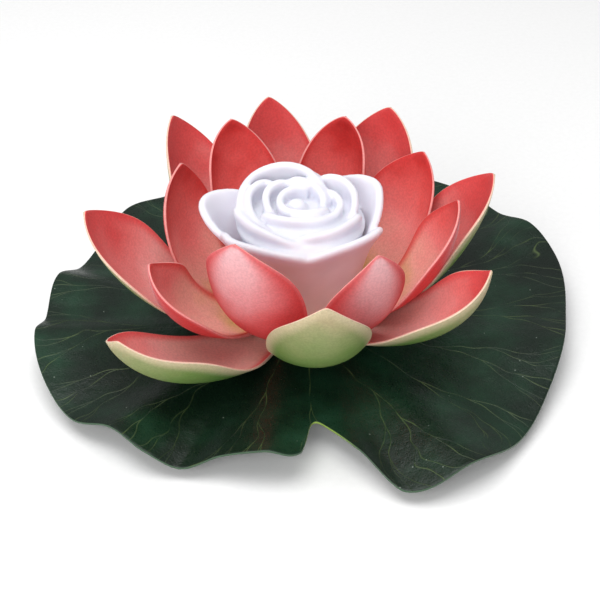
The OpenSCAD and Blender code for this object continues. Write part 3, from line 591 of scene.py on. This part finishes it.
def outer_petal_foam():
    """Red at the tips, fading to pale pink at the hub; outside, a green belly, darker towards the hub
    partly as painted shade under the petal, with a cream line along the margin."""
    return petal_foam(
        "sprayed_eva_foam_outer",
        ((0.0, "#c8a184"), (0.18, "#e8b6aa"), (0.42, "#eba8a3"), (0.64, "#e5807d"), (0.82, "#df5857"),
         (1.0, "#d94545")),
        # Outside ramp: the green is the spray, and its darkening towards the hub is partly painted shade
        # under the petal
        ((0.0, "#43652a"), (0.35, "#557a35"), (0.6, "#6d8645"), (0.8, "#8b9160"), (1.0, "#b0a07c")),
        "#de4d4e", "#c9b896", 8.0, "#eccdb9",
    )


def leaf_finish():
    """EVA sheet, printed, embossed and laminated: semi-gloss and a very deep green, mottled,
    with thin pale veins that fork towards the margin. Its pores break a highlight into
    specks, and the cut edge shows a line of bare green."""
    m, where = start_finish("printed_leaf_sheet")
    reach = add(m, "ShaderNodeAttribute", {"attribute_name": "reach"}, out="Fac")
    side = add(m, "ShaderNodeAttribute", {"attribute_name": "side"}, out="Fac")
    turn = add(m, "ShaderNodeAttribute", {"attribute_name": "turn"}, out="Fac")
    radius = add(m, "ShaderNodeAttribute", {"attribute_name": "radius"}, out="Fac")
    stray = add(m, "ShaderNodeTexNoise", {}, {"Vector": where, "Scale": per(45), "Detail": 2.0})
    swing = add(m, "ShaderNodeMapRange", {}, {0: stray, 1: 0.0, 2: 1.0, 3: -0.4, 4: 0.4})
    sector = add(m, "ShaderNodeMath", {"operation": "ADD"}, {0: turn, 1: swing})
    index = add(m, "ShaderNodeMath", {"operation": "ROUND"}, {0: sector})
    own = add(m, "ShaderNodeMath", {"operation": "SUBTRACT"}, {0: sector, 1: index})
    odd = add(m, "ShaderNodeTexWhiteNoise", {"noise_dimensions": "1D"}, {"W": index})
    off = add(m, "ShaderNodeMath", {"operation": "MULTIPLY"}, {0: own, 1: radius})
    off = add(m, "ShaderNodeMath", {"operation": "MULTIPLY"}, {0: off, 1: 2 * math.pi / VEINS})
    for begin, slope in ((70.0, 0.2), (94.0, 0.17), (114.0, 0.16)):
        fork = add(m, "ShaderNodeMath", {"operation": "MULTIPLY_ADD"}, {0: odd, 1: 14.0, 2: begin})
        past = add(m, "ShaderNodeMath", {"operation": "SUBTRACT"}, {0: radius, 1: fork})
        past = add(m, "ShaderNodeMath", {"operation": "MAXIMUM"}, {0: past, 1: 0.0})
        spread = add(m, "ShaderNodeMath", {"operation": "MULTIPLY"}, {0: past, 1: slope})
        off = add(m, "ShaderNodeMath", {"operation": "ABSOLUTE"}, {0: off})
        off = add(m, "ShaderNodeMath", {"operation": "SUBTRACT"}, {0: off, 1: spread})
    off = add(m, "ShaderNodeMath", {"operation": "ABSOLUTE"}, {0: off})
    # A vein is half a millimetre wide at the hub and a quarter at the margin
    wide = add(m, "ShaderNodeMapRange", {}, {0: reach, 1: 0.3, 2: 1.0, 3: 0.55, 4: 0.3})
    vein = add(m, "ShaderNodeMapRange", {}, {0: off, 1: 0.0, 2: wide, 3: 1.0, 4: 0.0})
    fade = add(m, "ShaderNodeTexNoise", {}, {"Vector": where, "Scale": per(14), "Detail": 2.0})
    shown = add(m, "ShaderNodeMapRange", {}, {0: fade, 1: 0.35, 2: 0.7, 3: 0.0, 4: 0.42})
    shown = add(m, "ShaderNodeMath", {"operation": "MULTIPLY"}, {0: vein, 1: shown})
    patch = add(m, "ShaderNodeTexNoise", {}, {"Vector": where, "Scale": per(32), "Detail": 5.0})
    greens = ((0.3, "#08160e"), (0.48, "#0e2116"), (0.62, "#153121"), (0.78, "#214230"))
    green = add(m, "ShaderNodeValToRGB", {"stops": greens}, {0: patch})
    colour = add(m, "ShaderNodeMix", {"data_type": "RGBA"}, {0: shown, 6: green, 7: "#7d9158"}, 2)
    dust = add(m, "ShaderNodeTexVoronoi", {}, {"Vector": where, "Scale": per(9)})
    spot = add(m, "ShaderNodeMapRange", {}, {0: dust, 1: 0.03, 2: 0.05, 3: 0.5, 4: 0.0})
    colour = add(m, "ShaderNodeMix", {"data_type": "RGBA"}, {0: spot, 6: colour, 7: "#9aa69a"}, 2)
    cut = add(m, "ShaderNodeMath", {"operation": "COMPARE"}, {0: side, 1: 0.5, 2: 0.45})
    notch = add(m, "ShaderNodeMapRange", {}, {0: radius, 1: 100.0, 2: 116.0, 3: 1.0, 4: 0.0})
    bare = add(m, "ShaderNodeMix", {"data_type": "RGBA"}, {0: notch, 6: "#3d5640", 7: "#86a046"}, 2)
    colour = add(m, "ShaderNodeMix", {"data_type": "RGBA"}, {0: cut, 6: colour, 7: bare}, 2)
    pore = add(m, "ShaderNodeTexNoise", {}, {"Vector": where, "Scale": per(1.0), "Detail": 3.0})
    ripple = add(m, "ShaderNodeTexNoise", {}, {"Vector": where, "Scale": per(17), "Detail": 3.0})
    height = add(m, "ShaderNodeMath", {"operation": "MULTIPLY_ADD"}, {0: ripple, 1: 6.0, 2: pore})
    height = add(m, "ShaderNodeMath", {"operation": "MULTIPLY_ADD"}, {0: vein, 1: 0.5, 2: height})
    bump = add(m, "ShaderNodeBump", {}, {"Strength": 0.55, "Distance": 0.35 * MM, "Height": height})
    worn = add(m, "ShaderNodeMapRange", {}, {0: pore, 1: 0.3, 2: 0.7, 3: 0.24, 4: 0.48})
    return coat(m, {"Base Color": colour, "Normal": bump, "Roughness": worn, "Specular IOR Level": 0.3})


def rose_finish():
    """Soft PVC, moulded, translucent white with a cool cast. It is satin, and light spreads a
    few millimetres inside it, which softens its hollows."""
    m, where = start_finish("moulded_translucent_pvc")
    cloud = add(m, "ShaderNodeTexNoise", {}, {"Vector": where, "Scale": per(17), "Detail": 2.0})
    milk = add(m, "ShaderNodeValToRGB", {"stops": ((0.35, "#e0e0ea"), (0.65, "#e8e8f1"))}, {0: cloud})
    grain = add(m, "ShaderNodeTexNoise", {}, {"Vector": where, "Scale": per(0.8), "Detail": 2.0})
    bump = add(m, "ShaderNodeBump", {}, {"Strength": 0.08, "Distance": 0.1 * MM, "Height": grain})
    return coat(m, {"Base Color": milk, "Normal": bump, "Roughness": 0.4, "Specular IOR Level": 0.4,
                    "Subsurface Weight": 0.7, "Subsurface Radius": (1.0, 0.85, 0.9),
                    "Subsurface Scale": 5 * MM})


def float_foam():
    """Polyethylene foam, cut from a block: matt off-white, with closed cells about a millimetre across that
    show as pits, each painted darker inside as painted shade."""
    m, where = start_finish("cut_pe_foam")
    cell = add(m, "ShaderNodeTexVoronoi", {}, {"Vector": where, "Scale": per(1.2)})
    # The ramp paints each pit darker than the rim of its cell: painted shade in the hollows
    colour = add(m, "ShaderNodeValToRGB", {"stops": ((0.1, "#d9d8d0"), (0.5, "#efeee8"))}, {0: cell})
    bump = add(m, "ShaderNodeBump", {}, {"Strength": 0.5, "Distance": 0.3 * MM, "Height": cell})
    return coat(m, {"Base Color": colour, "Normal": bump, "Roughness": 0.85, "Specular IOR Level": 0.25})


def white_abs():
    """ABS, injection-moulded in a spark-eroded tool: satin white with a fine even texture
    and slow changes of gloss."""
    m, where = start_finish("moulded_white_abs")
    cloud = add(m, "ShaderNodeTexNoise", {}, {"Vector": where, "Scale": per(20), "Detail": 2.0})
    colour = add(m, "ShaderNodeValToRGB", {"stops": ((0.3, "#e6e6e3"), (0.7, "#efefed"))}, {0: cloud})
    gloss = add(m, "ShaderNodeMapRange", {}, {0: cloud, 1: 0.3, 2: 0.7, 3: 0.32, 4: 0.42})
    spark = add(m, "ShaderNodeTexNoise", {}, {"Vector": where, "Scale": per(0.4), "Detail": 3.0})
    bump = add(m, "ShaderNodeBump", {}, {"Strength": 0.15, "Distance": 0.05 * MM, "Height": spark})
    return coat(m, {"Base Color": colour, "Normal": bump, "Roughness": gloss})


def black_rubber():
    """Nitrile rubber, moulded: soft black with a dry, slightly dusty skin."""
    m, where = start_finish("moulded_nitrile_rubber")
    dust = add(m, "ShaderNodeTexNoise", {}, {"Vector": where, "Scale": per(2), "Detail": 4.0})
    colour = add(m, "ShaderNodeValToRGB", {"stops": ((0.4, "#161617"), (0.75, "#2b2b2c"))}, {0: dust})
    bump = add(m, "ShaderNodeBump", {}, {"Strength": 0.2, "Distance": 0.05 * MM, "Height": dust})
    return coat(m, {"Base Color": colour, "Normal": bump, "Roughness": 0.62, "Specular IOR Level": 0.4})


def plated_metal(name, light, dark, rough, streak):
    """Plated metal: bright, with fine rolling or turning marks that spread its highlights."""
    m, where = start_finish(name)
    drawn = add(m, "ShaderNodeMapping", {}, {"Vector": where, "Scale": (1.0, 1.0, streak)})
    marks = add(m, "ShaderNodeTexNoise", {}, {"Vector": drawn, "Scale": per(0.5), "Detail": 3.0})
    colour = add(m, "ShaderNodeValToRGB", {"stops": ((0.3, dark), (0.7, light))}, {0: marks})
    gloss = add(m, "ShaderNodeMapRange", {}, {0: marks, 1: 0.3, 2: 0.7, 3: rough - 0.08, 4: rough + 0.08})
    return coat(m, {"Base Color": colour, "Metallic": 1.0, "Roughness": gloss})


def zinc_plate():
    """Zinc-plated steel, headed and passivated: a grey metal with a faint blue cast."""
    return plated_metal("zinc_plated_steel", "#c9ccd0", "#aeb2b8", 0.34, 0.3)


def nickel_plate():
    """Nickel-plated steel, drawn into a can: a bright, slightly warm metal."""
    return plated_metal("nickel_plated_steel", "#d6d3cc", "#bab6ad", 0.22, 0.15)


def phosphor_bronze():
    """Phosphor bronze strip, rolled and stamped: a yellow-brown spring metal."""
    return plated_metal("rolled_phosphor_bronze", "#d3b377", "#b89457", 0.28, 4.0)


def circuit_laminate():
    """Glass-epoxy laminate under green solder resist: glossy, with the copper tracks a
    shade lighter and the weave of the glass just showing."""
    m, where = start_finish("glass_epoxy_laminate")
    tracks = add(m, "ShaderNodeTexBrick", {},
                 {"Vector": where, "Color1": "#0f5a2a", "Color2": "#0f5a2a", "Mortar": "#2b8244",
                  "Scale": per(2.5), "Mortar Size": 0.035, "Mortar Smooth": 0.1})
    weave = add(m, "ShaderNodeTexChecker", {}, {"Vector": where, "Scale": per(0.5)}, out="Fac")
    bump = add(m, "ShaderNodeBump", {}, {"Strength": 0.12, "Distance": 0.03 * MM, "Height": weave})
    return coat(m, {"Base Color": tracks, "Normal": bump, "Roughness": 0.25})


def chip_epoxy():
    """Filled epoxy, transfer-moulded: dark grey and matt, with a fine sandy skin."""
    m, where = start_finish("moulded_chip_epoxy")
    sand = add(m, "ShaderNodeTexNoise", {}, {"Vector": where, "Scale": per(0.25), "Detail": 3.0})
    colour = add(m, "ShaderNodeValToRGB", {"stops": ((0.35, "#1a1a1b"), (0.7, "#29292a"))}, {0: sand})
    bump = add(m, "ShaderNodeBump", {}, {"Strength": 0.25, "Distance": 0.03 * MM, "Height": sand})
    return coat(m, {"Base Color": colour, "Normal": bump, "Roughness": 0.55})


def black_nylon():
    """Nylon, moulded: a black switch knob, satin and polished a little where a nail rubs it."""
    m, where = start_finish("moulded_black_nylon")
    rub = add(m, "ShaderNodeTexNoise", {}, {"Vector": where, "Scale": per(1.2), "Detail": 2.0})
    colour = add(m, "ShaderNodeValToRGB", {"stops": ((0.35, "#101011"), (0.7, "#1d1d1e"))}, {0: rub})
    gloss = add(m, "ShaderNodeMapRange", {}, {0: rub, 1: 0.35, 2: 0.65, 3: 0.3, 4: 0.48})
    return coat(m, {"Base Color": colour, "Roughness": gloss})


def resistor_ceramic():
    """Alumina chip with a glassy coat over its print: beige-brown, speckled, glossy."""
    m, where = start_finish("fired_alumina")
    speckle = add(m, "ShaderNodeTexNoise", {}, {"Vector": where, "Scale": per(0.4), "Detail": 3.0})
    colour = add(m, "ShaderNodeValToRGB", {"stops": ((0.35, "#7f6a4c"), (0.7, "#a08a66"))}, {0: speckle})
    return coat(m, {"Base Color": colour, "Roughness": 0.3, "Coat Weight": 0.4})


def led_epoxy():
    """Diffused epoxy, cast: a milky lens that lets light through and scatters it."""
    m, where = start_finish("cast_diffused_epoxy")
    milk = add(m, "ShaderNodeTexNoise", {}, {"Vector": where, "Scale": per(1.5), "Detail": 2.0})
    colour = add(m, "ShaderNodeValToRGB", {"stops": ((0.3, "#e9ecec"), (0.7, "#f7f8f6"))}, {0: milk})
    return coat(m, {"Base Color": colour, "Roughness": 0.22, "IOR": 1.52, "Transmission Weight": 0.45,
                    "Subsurface Weight": 0.3, "Subsurface Scale": 1.5 * MM})


# ---------------------------------------------------------------- build

shade_white, abs_white, rubber = rose_finish(), white_abs(), black_rubber()
zinc, bronze = zinc_plate(), phosphor_bronze()

for piece, body, node, slot, finish in (
    (leaf_piece(), "flower", "lily_pad", "leaf_sheet", leaf_finish()),
    (whorl_piece("petals_outer", OUTER), "flower", "outer_petals", "outer_foam", outer_petal_foam()),
    (whorl_piece("petals_inner", INNER), "flower", "inner_petals", "inner_foam", inner_petal_foam()),
    (rose_piece(), "lamp", "rose_shade", "shade_plastic", shade_white),
):
    piece.data.materials.append(finish)
    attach(piece, body)
    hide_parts(node)

CARRIED_OVER = {
    "float_disc": float_foam(),
    "lamp_socket": abs_white,
    "socket_ring": abs_white,
    "lamp_housing": abs_white,
    "base_plate": abs_white,
    "battery_door": abs_white,
    "shade_seal": rubber,
    "door_gasket": rubber,
    "base_screws": zinc,
    "switch_body": zinc,
    "button_cells": nickel_plate(),
    "contact_plus": bronze,
    "contact_minus": bronze,
    "led_leads": bronze,
    "circuit_board": circuit_laminate(),
    "controller_chip": chip_epoxy(),
    "switch_slider": black_nylon(),
    "resistor": resistor_ceramic(),
    "led": led_epoxy(),
}
for node, finish in CARRIED_OVER.items():
    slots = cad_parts[node].material_slots
    for place in range(len(slots)):
        slots[place].material = finish

# ---------------------------------------------------------------- floor, light, camera

FLOOR_HALF = 4000
corners = [(x * FLOOR_HALF, y * FLOOR_HALF, -0.2) for x, y in ((-1, -1), (1, -1), (1, 1), (-1, 1))]
floor = new_piece("floor", corners, [(0, 1, 2, 3)])
paper, paper_place = start_finish("matt_paper")
fibre = add(paper, "ShaderNodeTexNoise", {}, {"Vector": paper_place, "Scale": per(3), "Detail": 2.0})
pale = add(paper, "ShaderNodeValToRGB", {"stops": ((0.3, "#f8f8f8"), (0.7, "#fbfbfb"))}, {0: fibre})
floor.data.materials.append(coat(paper, {"Base Color": pale, "Roughness": 0.9, "Specular IOR Level": 0.1}))

world = bpy.data.worlds.new("studio")
bpy.context.scene.world = world
world.use_nodes = True
sky = world.node_tree.nodes["Background"]
sky.inputs["Color"].default_value = (1, 1, 1, 1)
sky.inputs["Strength"].default_value = 0.42


def softbox(name, place, size, power):
    """A square area light at a place in metres, aimed at the flower."""
    data = bpy.data.lights.new(name, "AREA")
    data.size = size
    data.energy = power
    lamp = bpy.data.objects.new(name, data)
    lamp.location = place
    lamp.rotation_euler = (Vector((0, 0, 0.04)) - Vector(place)).to_track_quat("-Z", "Y").to_euler()
    bpy.context.scene.collection.objects.link(lamp)


softbox("top", (-0.15, -0.1, 1.3), 1.1, 12.5)
softbox("front", (-0.45, -1.35, 0.62), 1.1, 14.5)

TILT = math.radians(36.0)
REACH = 0.78
camera_data = bpy.data.cameras.new("camera")
camera_data.lens = 87.5
camera_data.sensor_width = 36.0
camera_data.shift_x = -0.0012
camera_data.shift_y = 0.0575
camera_data.clip_start = 0.01
camera = bpy.data.objects.new("camera", camera_data)
camera.location = (0, -REACH * math.cos(TILT), REACH * math.sin(TILT))
camera.rotation_euler = (math.pi / 2 - TILT, 0, 0)
bpy.context.scene.collection.objects.link(camera)
bpy.context.scene.camera = camera
bpy.context.scene.view_settings.view_transform = "Standard"
